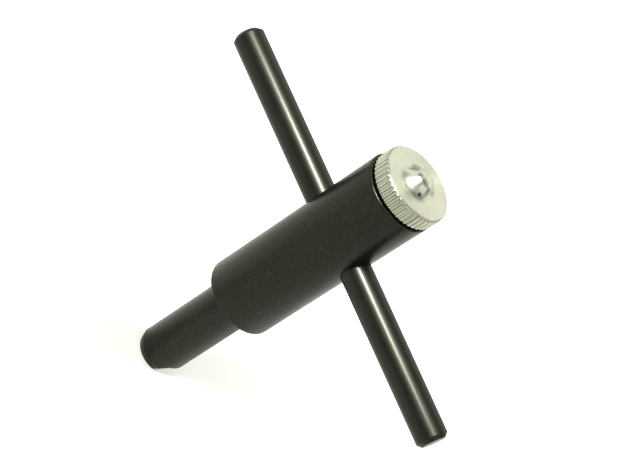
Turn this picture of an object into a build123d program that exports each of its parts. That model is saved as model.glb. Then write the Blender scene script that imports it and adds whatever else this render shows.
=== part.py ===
from build123d import *
import math
import os

# Tap wrench with a fixed cross handle. Millimetres, +Z up the wrench axis.
# The origin is the centre of the nose mouth, +X runs along the handle bar.
# Turning the knob down pushes the slotted plunger and two jaws down a taper
# in the nose, and the taper closes the jaws on the square of the tap.

INCH = 25.4

# Body: a turned barrel with a slimmer nose
barrel_radius = 1.0 * INCH / 2
nose_radius = 0.625 * INCH / 2
nose_length = 39.6
barrel_top_z = 109.0
bar_axis_z = 82.8
shoulder_chamfer = 1.1
rim_chamfer = 0.5
nose_chamfer_height = 2.5
nose_chamfer_depth = 0.8
tip_flat_x = 5.0
tip_flat_height = 5.0
tip_flat_tilt_deg = 25.0

# Bores of the body, from the mouth up, the last one threaded 3/4-16 and drawn plain
mouth_radius = 4.15
mouth_length = 9.0
mouth_chamfer = 0.6
nose_bore_radius = 0.5 * INCH / 2
jaw_taper_deg = 20.0
main_bore_radius = 0.6875 * INCH / 2
main_bore_floor_z = 46.0
thread_radius = 0.75 * INCH / 2
thread_bottom_z = 96.0

# Handle bar
bar_radius = 4.9
bar_length = 133.9
bar_offset = -0.35
bar_chamfer = 1.2
bar_fit = 0.015

# Knob, turned slightly off the centre of its threaded stud
knob_offset = 0.35
knob_bottom_z = 109.8
knob_thickness = 5.3
knob_radius = 12.35
knob_edge_radius = 1.1
knob_foot_chamfer = 0.25
knurl_teeth = 47
knurl_depth = 0.55
boss_radius = 3.3
boss_base_radius = 7.6
boss_height = 3.6
boss_flank_height = 2.6
flare_pull_radius = 5.2
dome_pull_radius = 2.4
stud_bottom_z = 99.0
stud_fit = 0.05
stud_end_chamfer = 1.0
spigot_radius = 5.1
spigot_length = 3.6
spigot_fit = 0.01
key_pin_radius = 0.5
key_pin_place_radius = 5.35
key_pin_angle_deg = -38.5
key_pin_recess = 0.2

# Plunger, ball and return spring
plunger_radius = main_bore_radius - 0.08
plunger_stem_radius = nose_bore_radius - 0.08
plunger_top_z = 95.5
plunger_shoulder_z = 66.0
plunger_bottom_z = 24.0
plunger_chamfer = 0.6
travel_down = 0.75
travel_up = 2.6
slot_clearance = 0.15
ball_radius = 3.0
ball_seat_fit = 0.05
spring_wire_radius = 0.6
spring_mean_radius = 7.5
spring_coils = 6
spring_end_gap = 0.05

# Jaws, as a pair facing each other across Y
jaw_gap_rest = 0.65
jaw_radius = 5.05
jaw_bottom_tight_z = 9.3
jaw_taper_fit = 0.04
vee_depth = 3.13
vee_height = 10.5
neck_width = 4.6
neck_height = 2.0
head_width = 7.6
head_height = 2.4
tee_fit = 0.1

# Pair of small springs that spread the jaws
spreader_offset = 3.0
spreader_z = 22.0
spreader_wire_radius = 0.16
spreader_mean_radius = 0.78
spreader_hole_radius = 1.05
spreader_hole_depth = 2.0
spreader_coils = 5

taper_slope = math.tan(math.radians(jaw_taper_deg))
taper_top_z = mouth_length + (nose_bore_radius - mouth_radius) / taper_slope
knob_top_z = knob_bottom_z + knob_thickness


def revolved(outline):
    """Turn a closed outline of (radius, height) points about the Z axis."""
    section = make_face(Polyline(*[(r, 0, z) for r, z in outline], close=True))
    return revolve(section, Axis.Z)


def cylinder(radius, low_z, high_z):
    """Upright cylinder on the Z axis between two heights."""
    return Pos(0, 0, low_z) * Cylinder(
        radius, high_z - low_z, align=(Align.CENTER, Align.CENTER, Align.MIN)
    )


def block(x_size, y_size, low_z, high_z):
    """Box centred on the Z axis between two heights."""
    return Pos(0, 0, low_z) * Box(
        x_size, y_size, high_z - low_z, align=(Align.CENTER, Align.CENTER, Align.MIN)
    )


def coil_spring(wire_radius, mean_radius, height, coils):
    """Open helical spring standing on z = 0, with its wire ends cut square."""
    rise = height - 2 * wire_radius
    path = Pos(0, 0, wire_radius) * Helix(rise / coils, rise, mean_radius)
    start = path ^ 0
    wire = Plane(start.position, z_dir=(path % 0)) * Circle(wire_radius)
    return sweep(wire, path=path, is_frenet=True)


def write(shape, node):
    """Export one piece under its node name."""
    export_step(shape, f"parts/{node}.step")


def make_body():
    """Barrel and nose in one turned piece, bored from both ends."""
    outline = [
        (0, 0),
        (nose_radius - nose_chamfer_depth, 0),
        (nose_radius, nose_chamfer_height),
        (nose_radius, nose_length),
        (barrel_radius - shoulder_chamfer, nose_length),
        (barrel_radius, nose_length + shoulder_chamfer),
        (barrel_radius, barrel_top_z - rim_chamfer),
        (barrel_radius - rim_chamfer, barrel_top_z),
        (0, barrel_top_z),
    ]
    bores = [
        (0, -1),
        (mouth_radius + mouth_chamfer, -1),
        (mouth_radius + mouth_chamfer, 0),
        (mouth_radius, mouth_chamfer),
        (mouth_radius, mouth_length),
        (nose_bore_radius, taper_top_z),
        (nose_bore_radius, main_bore_floor_z),
        (main_bore_radius, main_bore_floor_z),
        (main_bore_radius, thread_bottom_z),
        (thread_radius, thread_bottom_z),
        (thread_radius, barrel_top_z - rim_chamfer),
        (thread_radius + rim_chamfer, barrel_top_z),
        (thread_radius + rim_chamfer, barrel_top_z + 1),
        (0, barrel_top_z + 1),
    ]
    turned = revolved(outline) - revolved(bores)
    cross_hole = Pos(0, 0, bar_axis_z) * Rot(0, 90, 0) * Cylinder(
        bar_radius + bar_fit, 4 * barrel_radius
    )
    tip_slope = math.tan(math.radians(tip_flat_tilt_deg))
    flat_section = Polyline(
        (tip_flat_x - tip_slope, 0, -1),
        (tip_flat_x + tip_flat_height * tip_slope, 0, tip_flat_height),
        (2 * nose_radius, 0, tip_flat_height),
        (2 * nose_radius, 0, -1),
        close=True,
    )
    flat_cut = extrude(make_face(flat_section), 2 * nose_radius, dir=(0, 1, 0), both=True)
    return turned - cross_hole - flat_cut


def make_handle_bar():
    """Plain round bar, chamfered at both ends."""
    bar = Rot(0, 90, 0) * Cylinder(bar_radius, bar_length)
    ends = bar.edges().filter_by(GeomType.CIRCLE)
    return Pos(bar_offset, 0, bar_axis_z) * chamfer(ends, bar_chamfer)


def knurled_section():
    """Straight-knurl outline: narrow crests with wide grooves between them."""
    step = 360 / knurl_teeth
    corners = []
    for tooth in range(knurl_teeth):
        middle = tooth * step
        for radius, angle in (
            (knob_radius - knurl_depth, middle - 0.36 * step),
            (knob_radius, middle - 0.12 * step),
            (knob_radius, middle + 0.12 * step),
            (knob_radius - knurl_depth, middle + 0.36 * step),
        ):
            turn = math.radians(angle)
            corners.append((radius * math.cos(turn), radius * math.sin(turn)))
    return make_face(Polyline(*corners, close=True))


def make_knob():
    """Knurled disc, rounded at its top edge, with a flared, domed boss on its face."""
    disc = Pos(0, 0, knob_bottom_z) * extrude(knurled_section(), knob_thickness)
    round_radius = knob_radius - knob_edge_radius
    round_z = knob_top_z - knob_edge_radius
    half_way = knob_edge_radius * math.sqrt(0.5)
    rounded_edge = ThreePointArc(
        (knob_radius, 0, round_z),
        (round_radius + half_way, 0, round_z + half_way),
        (round_radius, 0, knob_top_z),
    )
    sides = Polyline(
        (round_radius, 0, knob_top_z),
        (0, 0, knob_top_z),
        (0, 0, knob_bottom_z),
        (knob_radius - knob_foot_chamfer, 0, knob_bottom_z),
        (knob_radius, 0, knob_bottom_z + knob_foot_chamfer),
        (knob_radius, 0, round_z),
    )
    blank = revolve(make_face([rounded_edge, sides]), Axis.Z)
    dome_z = knob_top_z + boss_height
    flank_z = knob_top_z + boss_flank_height
    flare = Bezier(
        (boss_base_radius, 0, knob_top_z),
        (flare_pull_radius, 0, knob_top_z),
        (boss_radius, 0, flank_z),
    )
    dome = Bezier(
        (boss_radius, 0, flank_z),
        (dome_pull_radius, 0, dome_z),
        (0, 0, dome_z),
    )
    inside = Polyline(
        (0, 0, dome_z), (0, 0, knob_top_z - 1), (boss_base_radius, 0, knob_top_z - 1),
        (boss_base_radius, 0, knob_top_z),
    )
    boss = revolve(make_face([flare, dome, inside]), Axis.Z)
    spigot_hole = cylinder(
        spigot_radius + spigot_fit, knob_bottom_z - 1, knob_bottom_z + spigot_length + 0.2
    )
    turned = Pos(knob_offset, 0, 0) * ((disc & blank) + boss)
    return turned - spigot_hole - key_pin_shape(dome_z, 0.01)


def key_pin_shape(top_z, fit):
    """Upright pin on the joint line between the knob and the stud's spigot."""
    place = math.radians(key_pin_angle_deg)
    out = Pos(key_pin_place_radius * math.cos(place), key_pin_place_radius * math.sin(place), 0)
    return out * cylinder(key_pin_radius + fit, knob_bottom_z + 0.4, top_z)


def make_stud():
    """Threaded stud, shown at its major diameter, with a spigot in the knob."""
    radius = thread_radius - stud_fit
    stud = revolved(
        [
            (0, stud_bottom_z),
            (radius - stud_end_chamfer, stud_bottom_z),
            (radius, stud_bottom_z + stud_end_chamfer),
            (radius, knob_bottom_z),
            (spigot_radius, knob_bottom_z),
            (spigot_radius, knob_bottom_z + spigot_length),
            (0, knob_bottom_z + spigot_length),
        ]
    )
    return stud - ball_seat() - key_pin_shape(knob_top_z, 0.01)


def ball_place():
    """Centre height of the ball, midway between the stud and the plunger."""
    return (stud_bottom_z + plunger_top_z) / 2


def ball_seat():
    """Spherical pocket that the ball runs in."""
    return Pos(0, 0, ball_place()) * Sphere(ball_radius + ball_seat_fit)


def make_plunger():
    """Plunger that straddles the handle bar, with a tee slot for the jaws."""
    turned = revolved(
        [
            (0, plunger_bottom_z),
            (plunger_stem_radius - plunger_chamfer, plunger_bottom_z),
            (plunger_stem_radius, plunger_bottom_z + plunger_chamfer),
            (plunger_stem_radius, plunger_shoulder_z),
            (plunger_radius - plunger_chamfer, plunger_shoulder_z),
            (plunger_radius, plunger_shoulder_z + plunger_chamfer),
            (plunger_radius, plunger_top_z - plunger_chamfer),
            (plunger_radius - plunger_chamfer, plunger_top_z),
            (0, plunger_top_z),
        ]
    )
    slot_radius = bar_radius + slot_clearance
    low_z = bar_axis_z - travel_up
    high_z = bar_axis_z + travel_down
    bar_slot = Box(4 * plunger_radius, 2 * slot_radius, high_z - low_z)
    bar_slot = Pos(0, 0, (low_z + high_z) / 2) * bar_slot
    for end_z in (low_z, high_z):
        bar_slot += Pos(0, 0, end_z) * Rot(0, 90, 0) * Cylinder(slot_radius, 4 * plunger_radius)
    neck_top = plunger_bottom_z + neck_height + tee_fit
    tee_slot = block(neck_width + 2 * tee_fit, 4 * plunger_radius, plunger_bottom_z - 1, neck_top)
    tee_slot += block(
        head_width + 2 * tee_fit,
        4 * plunger_radius,
        plunger_bottom_z + neck_height - tee_fit,
        plunger_bottom_z + neck_height + head_height + tee_fit,
    )
    return turned - bar_slot - tee_slot - ball_seat()


def make_return_spring():
    """Coil spring around the stem, between the bore floor and the plunger."""
    height = plunger_shoulder_z - main_bore_floor_z - 2 * spring_end_gap
    spring = coil_spring(spring_wire_radius, spring_mean_radius, height, spring_coils)
    return Pos(0, 0, main_bore_floor_z + spring_end_gap) * spring


def make_front_jaw():
    """Jaw on the -Y side: shaped at its tightest place, then moved to rest."""
    contact_z = mouth_length + (jaw_radius - mouth_radius) / taper_slope
    foot_radius = mouth_radius + (jaw_bottom_tight_z - mouth_length) * taper_slope
    tight_lift = -travel_down
    body_top = plunger_bottom_z - tee_fit + tight_lift
    head_low = plunger_bottom_z + neck_height + tight_lift
    head_top = head_low + head_height
    shape = revolved(
        [
            (0, jaw_bottom_tight_z),
            (foot_radius - jaw_taper_fit, jaw_bottom_tight_z),
            (jaw_radius - jaw_taper_fit, contact_z),
            (jaw_radius - jaw_taper_fit, head_top),
            (0, head_top),
        ]
    )
    envelope = block(3 * jaw_radius, 3 * jaw_radius, jaw_bottom_tight_z, body_top)
    envelope += block(neck_width, 3 * jaw_radius, body_top, head_low)
    envelope += block(head_width, 3 * jaw_radius, head_low, head_top)
    shape = shape & envelope
    tight_gap = jaw_gap_rest - 2 * travel_down * taper_slope
    keep = Pos(0, -tight_gap / 2 - 2 * jaw_radius, 0) * block(
        4 * jaw_radius, 4 * jaw_radius, 0, plunger_bottom_z + 10
    )
    vee_side = vee_depth * math.sqrt(2)
    vee = Pos(0, -tight_gap / 2, jaw_bottom_tight_z - 1) * Rot(0, 0, 45) * Box(
        vee_side, vee_side, vee_height + 1, align=(Align.CENTER, Align.CENTER, Align.MIN)
    )
    jaw = (shape & keep) - vee
    for side in (-1, 1):
        hole = Pos(side * spreader_offset, -tight_gap / 2, spreader_z + tight_lift)
        jaw -= hole * Rot(90, 0, 0) * Cylinder(spreader_hole_radius, 2 * spreader_hole_depth)
    rest_shift = Pos(0, -travel_down * taper_slope, travel_down)
    return rest_shift * jaw


def make_spreader_springs():
    """Two small springs lying along Y between the jaws."""
    length = jaw_gap_rest + 2 * spreader_hole_depth - 0.1
    springs = []
    for side in (-1, 1):
        spring = coil_spring(
            spreader_wire_radius, spreader_mean_radius, length, spreader_coils
        )
        place = Pos(side * spreader_offset, length / 2, spreader_z) * Rot(90, 0, 0)
        springs.append(place * spring)
    return Compound(springs)


os.makedirs("parts", exist_ok=True)
front_jaw = make_front_jaw()
write(make_body(), "body")
write(make_handle_bar(), "handle_bar")
write(make_knob(), "clamp_knob")
write(make_stud(), "knob_stud")
write(key_pin_shape(knob_top_z - key_pin_recess, 0), "knob_key_pin")
write(Pos(0, 0, ball_place()) * Sphere(ball_radius), "thrust_ball")
write(make_plunger(), "jaw_plunger")
write(make_return_spring(), "return_spring")
write(front_jaw, "front_jaw")
write(mirror(front_jaw, Plane.XZ), "back_jaw")
write(make_spreader_springs(), "jaw_springs")
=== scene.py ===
import math
import random
import bmesh
import bpy
from mathutils import Matrix, Vector


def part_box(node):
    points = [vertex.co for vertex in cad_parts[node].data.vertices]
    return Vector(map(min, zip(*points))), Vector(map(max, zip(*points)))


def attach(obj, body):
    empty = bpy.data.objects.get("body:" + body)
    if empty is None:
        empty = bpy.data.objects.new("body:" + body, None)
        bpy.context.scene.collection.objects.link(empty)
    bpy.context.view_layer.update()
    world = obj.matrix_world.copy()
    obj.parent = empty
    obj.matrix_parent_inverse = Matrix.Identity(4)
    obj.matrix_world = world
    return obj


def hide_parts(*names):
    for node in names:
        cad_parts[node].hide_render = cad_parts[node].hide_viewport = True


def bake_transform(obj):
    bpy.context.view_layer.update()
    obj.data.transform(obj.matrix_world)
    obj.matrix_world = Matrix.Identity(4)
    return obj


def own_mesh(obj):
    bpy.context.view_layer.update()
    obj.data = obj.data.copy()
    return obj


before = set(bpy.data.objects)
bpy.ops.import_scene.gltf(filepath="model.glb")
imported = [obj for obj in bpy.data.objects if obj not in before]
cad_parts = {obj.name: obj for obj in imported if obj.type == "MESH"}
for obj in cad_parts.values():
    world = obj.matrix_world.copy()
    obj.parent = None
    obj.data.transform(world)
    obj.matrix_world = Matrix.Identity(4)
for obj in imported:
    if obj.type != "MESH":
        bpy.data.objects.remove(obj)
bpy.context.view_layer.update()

# Tap wrench standing on its nose: metres, +Z up the wrench axis, +X along the handle bar.
MM = 0.001
FULL_TURN = 2 * math.pi

# Sizes read from the frame
body_low, body_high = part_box("body")
bar_low, bar_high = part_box("handle_bar")
knob_low, knob_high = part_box("clamp_knob")
stud_low, stud_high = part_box("knob_stud")
pin_low, pin_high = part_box("knob_key_pin")
barrel_radius = body_high.y
barrel_top = body_high.z
bar_axis_z = (bar_low.z + bar_high.z) / 2
bar_radius = bar_high.y
knob_bottom = knob_low.z
knob_offset = 0.35 * MM
knob_radius = knob_high.x - knob_offset
stud_radius = stud_high.x

# Sizes that the frame's boxes don't give
nose_radius = 0.625 * barrel_radius
nose_length = 39.6 * MM
nose_chamfer_height = 2.5 * MM
nose_chamfer_depth = 0.8 * MM
shoulder_chamfer = 1.1 * MM
rim_chamfer = 0.5 * MM
mouth_radius = 4.15 * MM
mouth_length = 9.0 * MM
mouth_chamfer = 0.6 * MM
nose_bore_radius = 6.35 * MM
taper_top = 15.04 * MM
main_bore_radius = 8.73 * MM
main_bore_floor = 46.0 * MM
thread_bottom = 96.0 * MM
thread_pitch = 25.4 / 16 * MM
thread_depth = 0.9 * MM
thread_crest_share = 0.1
stud_clearance = 0.05 * MM
stud_end_chamfer = 1.0 * MM
stud_cup_radius = 2.7 * MM
stud_cup_depth = 1.3 * MM
tip_flat_x = 5.0 * MM
tip_flat_height = 5.0 * MM
tip_flat_tilt_deg = 25
bar_chamfer = 1.2 * MM
bar_hole_clearance = 0.02 * MM
knob_thickness = 5.3 * MM
knob_top = knob_bottom + knob_thickness
knob_edge_radius = 1.1 * MM
knob_foot_chamfer = 0.25 * MM
knurl_teeth = 47
knurl_depth = 0.55 * MM
knurl_crest_share = 0.05
knurl_flank_share = 0.24
knurl_least_depth_share = 0.88
spigot_radius = 5.1 * MM
spigot_length = 3.6 * MM
spigot_clearance = 0.01 * MM
pin_clearance = 0.02 * MM
boss_radius = 3.3 * MM
boss_base_radius = 7.6 * MM
boss_flank_height = 2.6 * MM

# Middle control points of the two curves of the boss: the flare at its foot and the dome
flare_pull_radius = 5.2 * MM
dome_pull_radius = 2.4 * MM

# Springs
return_wire_radius = 0.6 * MM
return_coil_radius = 7.5 * MM
return_coils = 6
jaw_wire_radius = 0.16 * MM
jaw_coil_radius = 0.78 * MM
jaw_coils = 5
jaw_coil_x = 3.0 * MM

# Quality of the meshes
sharp_angle_deg = 32
knob_sharp_angle_deg = 38
weld_distance = 1e-7
radius_tolerance = 1e-6


# ---------------------------------------------------------------- camera and light

def place_camera():
    """Camera that looks down at the front of the wrench, a little from the right, strongly rolled."""
    azimuth = math.radians(-74.38)
    elevation = math.radians(35.05)
    roll = math.radians(56.52)
    distance = 0.5502
    aim = Vector((-3.0 * MM, -4.6 * MM, bar_axis_z - 5.2 * MM))
    back = Vector((
        math.cos(elevation) * math.cos(azimuth),
        math.cos(elevation) * math.sin(azimuth),
        math.sin(elevation),
    ))
    data = bpy.data.cameras.new("camera")
    data.sensor_width = 36
    data.lens = 108.9
    data.clip_start = 0.01
    camera = bpy.data.objects.new("camera", data)
    bpy.context.scene.collection.objects.link(camera)
    place = Matrix.Translation(aim + distance * back)
    turn = back.to_track_quat("Z", "Y").to_matrix().to_4x4()
    camera.matrix_world = place @ turn @ Matrix.Rotation(roll, 4, "Z")
    bpy.context.scene.camera = camera


def add_softbox(name, direction, distance, size, radiance, color, receivers):
    """A rectangular light in a direction from the handle bar, facing it, that lights its receivers."""
    width, height = size
    data = bpy.data.lights.new(name, "AREA")
    data.shape = "RECTANGLE"
    data.size = width
    data.size_y = height
    data.energy = radiance * math.pi * width * height
    data.color = color
    light = bpy.data.objects.new(name, data)
    bpy.context.scene.collection.objects.link(light)
    away = Vector(direction).normalized()
    light.location = Vector((0, 0, bar_axis_z)) + distance * away
    light.rotation_euler = away.to_track_quat("Z", "Y").to_euler()
    light.visible_camera = False
    light.light_linking.receiver_collection = receivers


def light_studio():
    """Dim room, soft panels and a small bright key for the wrench, and two lamps for the floor alone.

    The floor lamps stand opposite each other, so that each one fills the shadow of the other.
    """
    world = bpy.data.worlds.new("studio")
    world.use_nodes = True
    background = world.node_tree.nodes["Background"]
    background.inputs["Color"].default_value = (0.98, 1.0, 0.98, 1)
    background.inputs["Strength"].default_value = 0.25
    bpy.context.scene.world = world
    view = bpy.context.scene.view_settings
    view.view_transform = "Standard"
    view.exposure = 0.64
    view.gamma = 0.74
    floor = make_floor()
    only_floor = bpy.data.collections.new("only_floor")
    only_floor.objects.link(floor)
    all_but_floor = bpy.data.collections.new("all_but_floor")
    all_but_floor.objects.link(floor)
    all_but_floor.collection_objects[0].light_linking.link_state = "EXCLUDE"
    # Name, direction from the handle bar, distance, width and height, radiance, colour
    wrench_lights = (
        ("backdrop", (-0.12, 0.85, 0.50), 1.2, (2.2, 1.1), 0.77, (1.0, 0.99, 0.90)),
        ("key_softbox", (-0.22, -0.459, 0.861), 0.8, (0.26, 0.11), 128.0, (1.0, 1.0, 0.93)),
        ("front_fill", (0.05, -0.42, 0.91), 1.5, (2.8, 1.6), 0.38, (0.92, 1.0, 1.04)),
        ("right_panel", (0.90, -0.05, 0.50), 1.2, (1.3, 0.9), 0.85, (1.0, 1.0, 0.93)),
        ("left_panel", (-0.90, -0.05, 0.45), 1.2, (1.3, 0.9), 0.80, (0.97, 1.0, 0.97)),
    )
    floor_lights = (
        ("rear_floor_lamp", (0.35, 0.75, 0.56), 0.9, (0.25, 0.25), 34.0, (1.0, 1.0, 0.94)),
        ("front_floor_lamp", (-0.22, -0.459, 0.861), 0.8, (0.25, 0.25), 22.5, (1.0, 1.0, 0.94)),
    )
    for settings in wrench_lights:
        add_softbox(*settings, all_but_floor)
    for settings in floor_lights:
        add_softbox(*settings, only_floor)


def make_floor():
    """Wide pale sheet that the wrench stands on."""
    mesh = bpy.data.meshes.new("studio_floor")
    half = 3.0
    corners = [(-half, -half, 0), (half, -half, 0), (half, half, 0), (-half, half, 0)]
    mesh.from_pydata(corners, [], [(0, 1, 2, 3)])
    floor = bpy.data.objects.new("studio_floor", mesh)
    bpy.context.scene.collection.objects.link(floor)
    material, nodes, links, shader = new_material("pale_floor")
    shader.inputs["Base Color"].default_value = (0.9, 0.9, 0.89, 1)
    shader.inputs["Roughness"].default_value = 0.8
    shader.inputs["Specular IOR Level"].default_value = 0.2
    mesh.materials.append(material)
    return floor


# ---------------------------------------------------------------- material helpers
# Scales of noise, specks and stretches are in cycles per metre.

def new_material(name):
    """A material with its nodes, links and Principled shader."""
    material = bpy.data.materials.new(name)
    material.use_nodes = True
    tree = material.node_tree
    return material, tree.nodes, tree.links, tree.nodes["Principled BSDF"]


def place_on_object(nodes):
    """The socket that holds the point on the object, in metres."""
    return nodes.new("ShaderNodeTexCoord").outputs["Object"]


def calculate(nodes, links, operation, first, second):
    """A Math node on sockets or numbers."""
    node = nodes.new("ShaderNodeMath")
    node.operation = operation
    for socket, value in zip(node.inputs, (first, second)):
        if isinstance(value, (int, float)):
            socket.default_value = value
        else:
            links.new(value, socket)
    return node.outputs[0]


def stretch(nodes, links, vector, scale):
    """The vector scaled along X, Y and Z."""
    node = nodes.new("ShaderNodeMapping")
    node.inputs["Scale"].default_value = scale
    links.new(vector, node.inputs["Vector"])
    return node.outputs[0]


def noise(nodes, links, vector, scale, detail=4.0, roughness=0.55):
    """Cloudy noise from 0 to 1."""
    node = nodes.new("ShaderNodeTexNoise")
    node.inputs["Scale"].default_value = scale
    node.inputs["Detail"].default_value = detail
    node.inputs["Roughness"].default_value = roughness
    links.new(vector, node.inputs["Vector"])
    return node.outputs[0]


def ramp(nodes, links, value, stops):
    """Colours, or greys given as numbers, along a value from 0 to 1."""
    node = nodes.new("ShaderNodeValToRGB")
    elements = node.color_ramp.elements
    while len(elements) < len(stops):
        elements.new(0.5)
    for element, (position, color) in zip(elements, stops):
        element.position = position
        if isinstance(color, (int, float)):
            color = (color, color, color)
        element.color = (*color, 1)
    links.new(value, node.inputs["Fac"])
    return node.outputs["Color"]


def blend_colors(nodes, links, amount, first, second):
    """First colour where amount is 0, second where it is 1."""
    node = nodes.new("ShaderNodeMix")
    node.data_type = "RGBA"
    links.new(amount, node.inputs["Factor"])
    for socket, value in ((node.inputs["A"], first), (node.inputs["B"], second)):
        if isinstance(value, tuple):
            socket.default_value = (*value, 1)
        else:
            links.new(value, socket)
    return node.outputs["Result"]


def bump(nodes, links, height, distance, strength, below=None):
    """Surface relief of a height from 0 to 1, laid over another relief if given."""
    node = nodes.new("ShaderNodeBump")
    node.inputs["Distance"].default_value = distance
    node.inputs["Strength"].default_value = strength
    links.new(height, node.inputs["Height"])
    if below is not None:
        links.new(below, node.inputs["Normal"])
    return node.outputs["Normal"]


def split(nodes, links, vector):
    """The X, Y and Z of a vector."""
    node = nodes.new("ShaderNodeSeparateXYZ")
    links.new(vector, node.inputs[0])
    return node.outputs


def distance_from_axis(nodes, links, first, second):
    """Length of a pair of coordinates."""
    squares = [calculate(nodes, links, "POWER", value, 2.0) for value in (first, second)]
    return calculate(nodes, links, "SQRT", calculate(nodes, links, "ADD", *squares), 0.0)


def specks(nodes, links, vector, per_metre, size, share):
    """1 on small round specks, one in some cells of a Voronoi grid."""
    cells = nodes.new("ShaderNodeTexVoronoi")
    cells.inputs["Scale"].default_value = per_metre
    links.new(vector, cells.inputs["Vector"])
    near = calculate(nodes, links, "LESS_THAN", cells.outputs["Distance"], size)
    number = split(nodes, links, cells.outputs["Color"])[0]
    lucky = calculate(nodes, links, "GREATER_THAN", number, 1 - share)
    return calculate(nodes, links, "MULTIPLY", near, lucky)


# ---------------------------------------------------------------- materials

def black_oxide_satin():
    """Barrel and nose: satin black oxide over fine turning marks, mottled and dusty."""
    material, nodes, links, shader = new_material("black_oxide_barrel")
    place = place_on_object(nodes)
    grime = noise(nodes, links, stretch(nodes, links, place, (700, 700, 2200)), 1.0, 6.0, 0.7)
    clouds = ramp(nodes, links, grime, [
        (0.36, (0.0020, 0.0024, 0.0022)),
        (0.52, (0.0052, 0.0055, 0.0038)),
        (0.72, (0.0220, 0.0230, 0.0130)),
    ])
    dust = specks(nodes, links, place, 420, 0.085, 0.10)
    color = blend_colors(nodes, links, dust, clouds, (0.11, 0.11, 0.085))
    fine_dust = specks(nodes, links, place, 900, 0.12, 0.07)
    color = blend_colors(nodes, links, fine_dust, color, (0.045, 0.046, 0.034))
    links.new(color, shader.inputs["Base Color"])
    streaks = noise(nodes, links, stretch(nodes, links, place, (140, 140, 1800)), 1.0, 3.0)
    links.new(ramp(nodes, links, streaks, [(0.25, 0.26), (0.75, 0.36)]), shader.inputs["Roughness"])
    shader.inputs["Specular IOR Level"].default_value = 0.46
    shader.inputs["Specular Tint"].default_value = (1.0, 1.0, 0.86, 1)
    turning = noise(nodes, links, stretch(nodes, links, place, (8, 8, 5200)), 1.0, 2.0)
    relief = bump(nodes, links, turning, 0.004 * MM, 0.6)
    pits = noise(nodes, links, place, 2400, 2.0)
    links.new(bump(nodes, links, pits, 0.004 * MM, 0.5, relief), shader.inputs["Normal"])
    return material


def black_oxide_gloss():
    """Handle bar: smoother drawn bar, blackened and oiled, with marks along its length."""
    material, nodes, links, shader = new_material("black_oxide_bar")
    place = place_on_object(nodes)
    clouds = ramp(nodes, links, noise(nodes, links, place, 120), [
        (0.35, (0.0045, 0.0047, 0.0036)),
        (0.70, (0.0085, 0.0088, 0.0062)),
    ])
    dust = specks(nodes, links, place, 500, 0.09, 0.05)
    links.new(blend_colors(nodes, links, dust, clouds, (0.09, 0.09, 0.07)), shader.inputs["Base Color"])
    drawn = noise(nodes, links, stretch(nodes, links, place, (60, 2600, 2600)), 1.0, 3.0)
    links.new(ramp(nodes, links, drawn, [(0.3, 0.41), (0.75, 0.50)]), shader.inputs["Roughness"])
    shader.inputs["Specular Tint"].default_value = (1.0, 1.0, 0.86, 1)
    shader.inputs["Specular IOR Level"].default_value = 0.36
    shader.inputs["Coat Weight"].default_value = 0.30
    shader.inputs["Coat Roughness"].default_value = 0.26
    links.new(bump(nodes, links, drawn, 0.003 * MM, 0.5), shader.inputs["Normal"])
    return material


def turned_aluminium():
    """Knob: bright turned face and boss, greyer knurl darkened towards its groove bottoms by dirt and
    painted shade.
    """
    material, nodes, links, shader = new_material("turned_aluminium")
    place = place_on_object(nodes)
    x, y, z = split(nodes, links, place)
    rim_margin = 0.15 * MM
    face_margin = 0.25 * MM
    ring_pitch = 0.14 * MM
    radius = distance_from_axis(nodes, links, calculate(nodes, links, "SUBTRACT", x, knob_offset), y)
    groove = calculate(nodes, links, "SUBTRACT", knob_radius, radius)
    groove = calculate(nodes, links, "DIVIDE", groove, knurl_depth)
    # Knurl colour, greyer than the face and darker with groove depth: partly dirt, partly painted shade
    # in the grooves.
    knurl_dirt_and_shade = ramp(nodes, links, groove, [
        (0.10, (0.50, 0.505, 0.44)),
        (0.55, (0.44, 0.445, 0.38)),
        (1.0, (0.36, 0.365, 0.31)),
    ])
    face = ramp(nodes, links, noise(nodes, links, place, 260), [
        (0.30, (0.49, 0.495, 0.435)),
        (0.70, (0.53, 0.535, 0.475)),
    ])
    on_knurl = calculate(nodes, links, "GREATER_THAN", radius, knob_radius - knurl_depth - rim_margin)
    below_face = calculate(nodes, links, "LESS_THAN", z, knob_top - face_margin)
    on_knurl = calculate(nodes, links, "MULTIPLY", on_knurl, below_face)
    color = blend_colors(nodes, links, on_knurl, face, knurl_dirt_and_shade)
    pits = specks(nodes, links, place, 700, 0.10, 0.08)
    links.new(blend_colors(nodes, links, pits, color, (0.20, 0.20, 0.17)), shader.inputs["Base Color"])
    shader.inputs["Metallic"].default_value = 1.0
    smudges = noise(nodes, links, place, 350, 3.0)
    links.new(ramp(nodes, links, smudges, [(0.3, 0.26), (0.7, 0.38)]), shader.inputs["Roughness"])
    shader.inputs["Anisotropic"].default_value = 0.62
    shader.inputs["Anisotropic Rotation"].default_value = 0.25
    around = nodes.new("ShaderNodeTangent")
    around.direction_type = "RADIAL"
    around.axis = "Z"
    links.new(around.outputs[0], shader.inputs["Tangent"])
    rings = calculate(nodes, links, "MULTIPLY", radius, FULL_TURN / ring_pitch)
    rings = calculate(nodes, links, "SINE", rings, 0.0)
    relief = bump(nodes, links, rings, 0.0012 * MM, 0.5)
    grain = noise(nodes, links, place, 3000, 2.0)
    links.new(bump(nodes, links, grain, 0.004 * MM, 0.4, relief), shader.inputs["Normal"])
    return material


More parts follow.
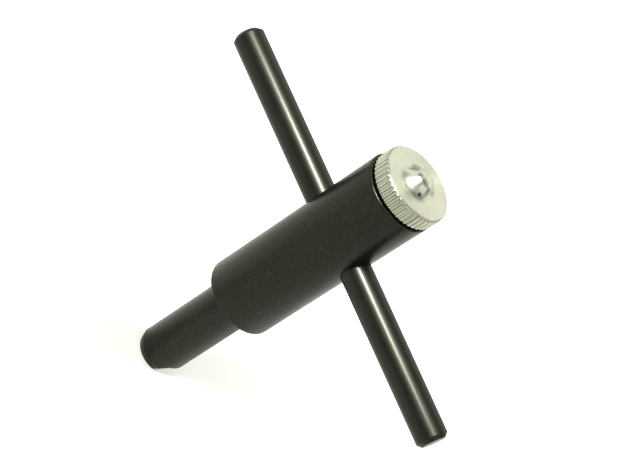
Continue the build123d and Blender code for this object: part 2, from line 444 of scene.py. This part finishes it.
def bare_steel(name, color, roughness_low, roughness_high):
    """Machined steel of the inner pieces, with fine marks and slight staining."""
    material, nodes, links, shader = new_material(name)
    place = place_on_object(nodes)
    stain = noise(nodes, links, place, 400)
    dark = tuple(0.7 * part for part in color)
    links.new(ramp(nodes, links, stain, [(0.3, dark), (0.7, color)]), shader.inputs["Base Color"])
    shader.inputs["Metallic"].default_value = 1.0
    marks = noise(nodes, links, stretch(nodes, links, place, (300, 300, 4000)), 1.0, 3.0)
    rough = ramp(nodes, links, marks, [(0.3, roughness_low), (0.7, roughness_high)])
    links.new(rough, shader.inputs["Roughness"])
    links.new(bump(nodes, links, marks, 0.004 * MM, 0.5), shader.inputs["Normal"])
    return material


def dress(node, material):
    """Give a CAD node its material."""
    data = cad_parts[node].data
    data.materials.clear()
    data.materials.append(material)


# ---------------------------------------------------------------- mesh helpers

def finish_mesh(name, mesh_data, material, sharp_deg=sharp_angle_deg):
    """Turn a bmesh into an object with smooth faces, sharp edges and a material."""
    bmesh.ops.recalc_face_normals(mesh_data, faces=mesh_data.faces)
    mesh = bpy.data.meshes.new(name)
    mesh_data.to_mesh(mesh)
    mesh_data.free()
    mesh.materials.append(material)
    mesh.shade_smooth()
    mesh.set_sharp_from_angle(angle=math.radians(sharp_deg))
    piece = bpy.data.objects.new(name, mesh)
    bpy.context.scene.collection.objects.link(piece)
    return piece


def rounded(corners, steps=5):
    """Outline through (radius, height, fillet) corners, closed, with each fillet as an arc."""
    outline = []
    count = len(corners)
    for index, (radius, height, fillet) in enumerate(corners):
        corner = Vector((radius, height))
        if fillet == 0:
            outline.append(corner)
            continue
        before = (Vector(corners[index - 1][:2]) - corner).normalized()
        after = (Vector(corners[(index + 1) % count][:2]) - corner).normalized()
        half = before.angle(after) / 2
        reach = fillet / math.tan(half)
        start = corner + reach * before
        end = corner + reach * after
        centre = corner + (before + after).normalized() * fillet / math.sin(half)
        sweep = (start - centre).angle_signed(end - centre)
        for step in range(steps + 1):
            arm = start - centre
            arm.rotate(Matrix.Rotation(-sweep * step / steps, 2))
            outline.append(centre + arm)
    return outline


def lathe(outline, segments, surface=None):
    """Closed (radius, height) outline turned about Z; surface may change the radius at an angle."""
    mesh_data = bmesh.new()
    rings = []
    for turn in range(segments):
        angle = FULL_TURN * turn / segments
        ring = []
        for radius, height in outline:
            reach = surface(radius, height, angle) if surface else radius
            ring.append(mesh_data.verts.new((reach * math.cos(angle), reach * math.sin(angle), height)))
        rings.append(ring)
    points = len(outline)
    for turn in range(segments):
        here, there = rings[turn], rings[(turn + 1) % segments]
        for point in range(points):
            after = (point + 1) % points
            on_axis = max(outline[point][0], outline[after][0]) < weld_distance
            if on_axis:
                continue
            mesh_data.faces.new((here[point], there[point], there[after], here[after]))
    bmesh.ops.remove_doubles(mesh_data, verts=mesh_data.verts, dist=weld_distance)
    bmesh.ops.dissolve_degenerate(mesh_data, edges=mesh_data.edges, dist=weld_distance / 10)
    return mesh_data


def cut(piece, cutter_mesh):
    """Take a closed bmesh away from a piece for good."""
    data = bpy.data.meshes.new("cutter")
    bmesh.ops.recalc_face_normals(cutter_mesh, faces=cutter_mesh.faces)
    cutter_mesh.to_mesh(data)
    cutter_mesh.free()
    cutter = bpy.data.objects.new("cutter", data)
    bpy.context.scene.collection.objects.link(cutter)
    modifier = piece.modifiers.new("cut", "BOOLEAN")
    modifier.operation = "DIFFERENCE"
    modifier.solver = "EXACT"
    modifier.object = cutter
    graph = bpy.context.evaluated_depsgraph_get()
    result = bpy.data.meshes.new_from_object(piece.evaluated_get(graph))
    piece.modifiers.clear()
    piece.data = result
    bpy.data.objects.remove(cutter)


def drill(piece, place, radius, depth, segments):
    """Cut a round hole that is centred on a place and runs along its Z."""
    hole = bmesh.new()
    bmesh.ops.create_cone(
        hole, cap_ends=True, segments=segments, radius1=radius, radius2=radius,
        depth=depth, matrix=place,
    )
    cut(piece, hole)


def bezier(first, pull, last, steps):
    """Points along a quadratic curve, without its first point."""
    first, pull, last = Vector(first), Vector(pull), Vector(last)
    points = []
    for step in range(1, steps + 1):
        t = step / steps
        points.append((1 - t) ** 2 * first + 2 * t * (1 - t) * pull + t * t * last)
    return points


def line(first, last, steps):
    """Evenly spaced points on a line, without its first point."""
    return [Vector(first).lerp(Vector(last), step / steps) for step in range(1, steps + 1)]


def quarter_round(start, radius, steps):
    """Points of an arc from an upright side over to a level face, without its first point."""
    points = []
    for step in range(1, steps + 1):
        turn = math.pi / 2 * step / steps
        inward = radius * (1 - math.cos(turn))
        points.append(Vector((start[0] - inward, start[1] + radius * math.sin(turn))))
    return points


# ---------------------------------------------------------------- pieces

def along_bar():
    """Place on the axis of the handle bar, with its Z along the bar."""
    return Matrix.Translation((0, 0, bar_axis_z)) @ Matrix.Rotation(math.pi / 2, 4, "Y")


def make_barrel(material):
    """Barrel and nose in one turned piece, with the bar's hole and the flat at the tip."""
    # Radius, height and fillet of each corner, from the mouth up the outside and down the bores
    corners = [
        (mouth_radius + mouth_chamfer, 0, 0.1 * MM),
        (nose_radius - nose_chamfer_depth, 0, 0.25 * MM),
        (nose_radius, nose_chamfer_height, 1.6 * MM),
        (nose_radius, nose_length, 0.15 * MM),
        (barrel_radius - shoulder_chamfer, nose_length, 0.25 * MM),
        (barrel_radius, nose_length + shoulder_chamfer, 0.6 * MM),
        (barrel_radius, barrel_top, rim_chamfer),
        (stud_radius + rim_chamfer, barrel_top, 0.1 * MM),
        (stud_radius + stud_clearance, barrel_top - rim_chamfer, 0),
        (stud_radius + stud_clearance, thread_bottom, 0),
        (main_bore_radius, thread_bottom, 0),
        (main_bore_radius, main_bore_floor, 0),
        (nose_bore_radius, main_bore_floor, 0),
        (nose_bore_radius, taper_top, 0),
        (mouth_radius, mouth_length, 0),
        (mouth_radius, mouth_chamfer, 0),
    ]
    piece = finish_mesh("barrel_and_nose", lathe(rounded(corners), 256), material)
    drill(piece, along_bar(), bar_radius + bar_hole_clearance, 4 * barrel_radius, 128)
    flat = bmesh.new()
    flat_centre = (tip_flat_x + nose_radius, 0, tip_flat_height / 2 - nose_radius)
    flat_size = (2 * nose_radius, 4 * nose_radius, tip_flat_height + 2 * nose_radius, 1)
    flat_place = Matrix.Translation(flat_centre) @ Matrix.Diagonal(flat_size)
    bmesh.ops.create_cube(flat, size=1, matrix=flat_place)
    lean = math.tan(math.radians(tip_flat_tilt_deg))
    for vert in flat.verts:
        vert.co.x += vert.co.z * lean
    cut(piece, flat)
    piece.data.shade_smooth()
    piece.data.set_sharp_from_angle(angle=math.radians(sharp_angle_deg))
    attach(piece, "body")
    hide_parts("body")


def make_bar(material):
    """Round bar with chamfers and softly broken edges."""
    # Radius, place along the bar and fillet of each corner
    corners = [
        (0, bar_low.x, 0),
        (bar_radius - bar_chamfer, bar_low.x, 0.15 * MM),
        (bar_radius, bar_low.x + bar_chamfer, 0.3 * MM),
        (bar_radius, bar_high.x - bar_chamfer, 0.3 * MM),
        (bar_radius - bar_chamfer, bar_high.x, 0.15 * MM),
        (0, bar_high.x, 0),
    ]
    mesh_data = lathe(rounded(corners), 160)
    bmesh.ops.transform(mesh_data, matrix=along_bar(), verts=mesh_data.verts)
    piece = finish_mesh("cross_bar", mesh_data, material)
    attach(piece, "body")
    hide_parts("handle_bar")


def knurl_radius(depths, angle):
    """Radius of the straight knurl at an angle: narrow rolled crests and wide grooves."""
    tooth = angle / FULL_TURN * knurl_teeth
    nearest = round(tooth)
    from_crest = abs(tooth - nearest)
    sink = min(1.0, max(0.0, (from_crest - knurl_crest_share) / knurl_flank_share))
    sink = sink * sink * (3 - 2 * sink)
    return knob_radius - depths[nearest % knurl_teeth] * sink


def make_knob(material):
    """Knurled disc, turned face with a flared and domed boss, and a blind hole for the stud."""
    draw = random.Random(7)
    depths = [knurl_depth * draw.uniform(knurl_least_depth_share, 1.0) for _ in range(knurl_teeth)]
    steps_per_tooth = 24
    foot = (knob_radius - knob_foot_chamfer, knob_bottom)
    low_edge = (knob_radius, knob_bottom + knob_foot_chamfer)
    high_edge = (knob_radius, knob_top - knob_edge_radius)
    flare_start = (boss_base_radius, knob_top)
    flank = (boss_radius, knob_top + boss_flank_height)
    outline = [Vector((0, knob_bottom)), Vector(foot)]
    outline += line(foot, low_edge, 3)
    outline += line(low_edge, high_edge, 8)
    outline += quarter_round(high_edge, knob_edge_radius, 12)
    outline += line(outline[-1], flare_start, 6)
    outline += bezier(flare_start, (flare_pull_radius, knob_top), flank, 16)
    outline += bezier(flank, (dome_pull_radius, knob_high.z), (0, knob_high.z), 14)

    def surface(radius, height, angle):
        return min(radius, knurl_radius(depths, angle))

    mesh_data = lathe(outline, knurl_teeth * steps_per_tooth, surface)
    bmesh.ops.translate(mesh_data, vec=(knob_offset, 0, 0), verts=mesh_data.verts)
    piece = finish_mesh("knurled_knob", mesh_data, material, knob_sharp_angle_deg)
    pin_radius = (pin_high.x - pin_low.x) / 2 + pin_clearance
    pin_place = ((pin_low.x + pin_high.x) / 2, (pin_low.y + pin_high.y) / 2, knob_top)
    drill(piece, Matrix.Translation(pin_place), pin_radius, 2 * (knob_top - pin_low.z), 32)
    spigot_place = Matrix.Translation((0, 0, knob_bottom))
    drill(piece, spigot_place, spigot_radius, 2 * spigot_length, 96)
    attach(piece, "knob")
    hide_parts("clamp_knob")


def make_stud(material):
    """Stud with a real helical thread below the knob and a cup for the ball in its end."""
    threaded = stud_high.z - spigot_length - stud_low.z
    end_radius = stud_radius - stud_end_chamfer
    outline = [Vector((0, stud_low.z + stud_cup_depth))]
    outline.append(Vector((stud_cup_radius, stud_low.z)))
    outline.append(Vector((end_radius, stud_low.z)))
    rows = 120
    for row in range(1, rows + 1):
        height = threaded * row / rows
        radius = stud_radius - max(0.0, stud_end_chamfer - height)
        outline.append(Vector((radius, stud_low.z + height)))
    neck_radius = spigot_radius - spigot_clearance
    outline.append(Vector((neck_radius, stud_low.z + threaded)))
    outline.append(Vector((neck_radius, stud_high.z)))
    outline.append(Vector((0, stud_high.z)))

    def surface(radius, height, angle):
        if radius < end_radius - radius_tolerance:
            return radius
        phase = (height - stud_low.z) / thread_pitch - angle / FULL_TURN
        from_crest = abs(phase - round(phase)) * 2
        sink = thread_depth * max(0.0, from_crest - thread_crest_share)
        return min(radius, stud_radius - sink)

    piece = finish_mesh("threaded_stud", lathe(outline, 96, surface), material)
    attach(piece, "knob")
    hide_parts("knob_stud")


def add_coil(mesh_data, start, along, side, sizes):
    """Coiled wire about the line from start to start + along; its first turn begins on that side."""
    wire_radius, coil_radius, coils = sizes
    around = along.normalized().cross(side)
    sides = 12
    steps_per_coil = 36
    steps = coils * steps_per_coil
    rings = []
    for step in range(steps + 1):
        share = step / steps
        angle = FULL_TURN * coils * share
        outward = side * math.cos(angle) + around * math.sin(angle)
        onward = around * math.cos(angle) - side * math.sin(angle)
        forward = (onward * FULL_TURN * coils * coil_radius + along).normalized()
        across = forward.cross(outward)
        centre = start + along * share + outward * coil_radius
        ring = []
        for corner in range(sides):
            turn = FULL_TURN * corner / sides
            offset = outward * math.cos(turn) + across * math.sin(turn)
            ring.append(mesh_data.verts.new(centre + offset * wire_radius))
        rings.append(ring)
    for low, high in zip(rings, rings[1:]):
        for corner in range(sides):
            after = (corner + 1) % sides
            mesh_data.faces.new((low[corner], low[after], high[after], high[corner]))
    mesh_data.faces.new(list(reversed(rings[0])))
    mesh_data.faces.new(rings[-1])


def make_return_spring(material):
    """Return spring coiled between the bore floor and the plunger."""
    low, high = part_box("return_spring")
    start = Vector((0, 0, low.z + return_wire_radius))
    along = Vector((0, 0, high.z - low.z - 2 * return_wire_radius))
    mesh_data = bmesh.new()
    sizes = (return_wire_radius, return_coil_radius, return_coils)
    add_coil(mesh_data, start, along, Vector((1, 0, 0)), sizes)
    piece = finish_mesh("return_coil", mesh_data, material)
    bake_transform(piece)
    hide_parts("return_spring")


def make_jaw_springs(material):
    """Two small springs across the jaws, which go with the plunger."""
    low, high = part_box("jaw_springs")
    height = (low.z + high.z) / 2
    length = high.y - low.y - 2 * jaw_wire_radius
    sizes = (jaw_wire_radius, jaw_coil_radius, jaw_coils)
    mesh_data = bmesh.new()
    for side in (-1, 1):
        start = Vector((side * jaw_coil_x, length / 2, height))
        add_coil(mesh_data, start, Vector((0, -length, 0)), Vector((1, 0, 0)), sizes)
    piece = finish_mesh("jaw_coils", mesh_data, material)
    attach(piece, "plunger")
    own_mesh(piece)
    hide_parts("jaw_springs")


# ---------------------------------------------------------------- the wrench

place_camera()
light_studio()
make_barrel(black_oxide_satin())
make_bar(black_oxide_gloss())
make_knob(turned_aluminium())
machined = bare_steel("machined_steel", (0.42, 0.42, 0.42), 0.25, 0.40)
make_stud(machined)
dress("jaw_plunger", machined)
jaw_steel = bare_steel("jaw_steel", (0.25, 0.24, 0.23), 0.28, 0.42)
dress("front_jaw", jaw_steel)
dress("back_jaw", jaw_steel)
spring_steel = bare_steel("spring_steel", (0.30, 0.30, 0.31), 0.20, 0.32)
make_return_spring(spring_steel)
make_jaw_springs(spring_steel)
dress("thrust_ball", bare_steel("ball_steel", (0.62, 0.62, 0.63), 0.08, 0.14))
dress("knob_key_pin", bare_steel("pin_steel", (0.10, 0.10, 0.09), 0.35, 0.55))
